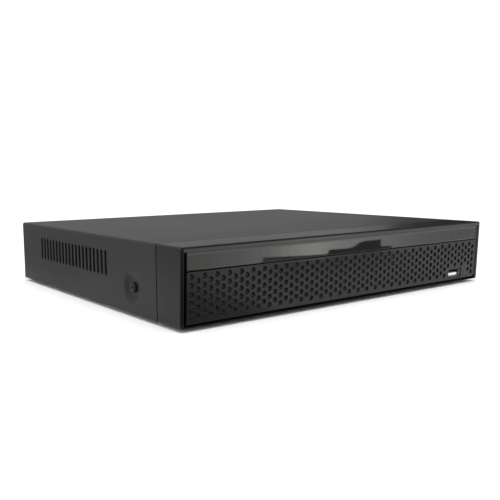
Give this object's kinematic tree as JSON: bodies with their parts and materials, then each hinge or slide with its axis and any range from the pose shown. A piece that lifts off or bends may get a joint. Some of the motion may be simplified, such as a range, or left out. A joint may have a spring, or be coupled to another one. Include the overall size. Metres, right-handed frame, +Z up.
{
  "type": "dvr recorder",
  "caption": "Low desktop video recorder with a pitted front panel, vented folded steel cover, rear camera sockets, main board, hard disk and fan.",
  "frame": {"origin": "centre of the bounding box's floor: on the surface that the feet stand on", "axes": "+Z up, -Y towards the front panel, +X to the right as seen from the front"},
  "size_m": [0.26, 0.24, 0.0447],
  "materials": {
    "steel_tray": "zinc-plated sheet, matt",
    "rear_sheet": "fine black powder coat",
    "cover_paint": "dark grey powder coat, fine texture",
    "bezel_plastic": "dark grey moulded plastic, fine grain",
    "panel_plastic": "dark moulded plastic, satin",
    "strip_gloss": "polished smoke acrylic",
    "clear_pipe": "clear acrylic",
    "board_green": "solder mask, satin",
    "lamp": "epoxy",
    "black_plastic": "moulded",
    "black_gloss": "moulded, glossy",
    "white_plastic": "moulded",
    "nickel": "nickel plate",
    "zinc_screw": "zinc plate",
    "black_screw": "black oxide",
    "brass": "machined",
    "gold": "gold flash",
    "alu": "extruded",
    "alu_cast": "cast",
    "platter": "polished",
    "can": "sleeved can",
    "cell": "stamped",
    "blue_plastic": "moulded",
    "green_plastic": "moulded",
    "red_cable": "flexible sheath",
    "black_cable": "flexible sheath",
    "white_cable": "flexible sheath",
    "rubber_foot": "matt"
  },
  "bodies": {
    "chassis": {"chassis_tray": "steel_tray", "rear_panel": "rear_sheet", "front_bezel": "bezel_plastic", "face_panel": "panel_plastic", "gloss_strip": "strip_gloss", "light_pipes": "clear_pipe", "front_board": "board_green", "front_leds": "lamp", "ir_receiver": "black_gloss", "front_usb_shell": "nickel", "front_usb_tongue": "white_plastic", "front_board_screws": "zinc_screw", "bezel_screws": "zinc_screw", "front_cable": "white_cable", "main_board": "board_green", "board_standoffs": "brass", "board_screws": "zinc_screw", "processor": "black_plastic", "heatsink": "alu", "board_chips": "black_plastic", "capacitors": "can", "coin_cell_holder": "black_plastic", "coin_cell": "cell", "sata_sockets": "black_plastic", "bnc_bodies": "black_plastic", "bnc_barrels": "nickel", "bnc_insulators": "white_plastic", "bnc_contacts": "gold", "rca_body": "black_plastic", "rca_barrels": "nickel", "vga_socket": "blue_plastic", "vga_nuts": "nickel", "hdmi_socket": "nickel", "lan_socket": "nickel", "rear_usb_shell": "nickel", "rear_usb_tongues": "white_plastic", "alarm_terminal": "green_plastic", "dc_jack": "black_plastic", "dc_jack_pin": "nickel", "switch_body": "black_plastic", "ground_screw": "zinc_screw", "hdd_base": "alu_cast", "hdd_lid": "cell", "hdd_board": "board_green", "hdd_magnet": "nickel", "hdd_mount_screws": "zinc_screw", "sata_data_cable": "red_cable", "sata_power_cable": "black_cable", "fan_frame": "black_plastic", "fan_cable": "black_cable", "feet": "rubber_foot", "rear_panel_screws": "zinc_screw"},
    "cover": {"top_cover": "cover_paint", "cover_screws": "black_screw", "side_screw_nuts": "zinc_screw"},
    "rocker": {"power_rocker": "black_gloss"},
    "fan": {"fan_rotor": "black_plastic"},
    "spindle": {"hdd_hub": "alu", "hdd_platter": "platter"},
    "head_arm": {"hdd_head_arm": "alu"}
  },
  "joints": [
    {"name": "cover_slide", "type": "slide", "parent": "chassis", "child": "cover", "axis": [0, 1, 0], "range_m": [0, 0.235]},
    {"name": "rocker_tip", "type": "hinge", "parent": "chassis", "child": "rocker", "pos_m": [0.104, 0.1046, 0.0204], "axis": [1, 0, 0], "range_deg": [0, 24]},
    {"name": "fan_spin", "type": "hinge", "parent": "chassis", "child": "fan", "pos_m": [0.055, 0.0455, 0.03], "axis": [0, 0, 1], "continuous": true},
    {"name": "platter_spin", "type": "hinge", "parent": "chassis", "child": "spindle", "pos_m": [-0.0672, -0.0366, 0.018], "axis": [0, 0, 1], "continuous": true},
    {"name": "arm_swing", "type": "hinge", "parent": "chassis", "child": "head_arm", "pos_m": [-0.0152, -0.0186, 0.018], "axis": [0, 0, -1], "range_deg": [0, 33]}
  ]
}
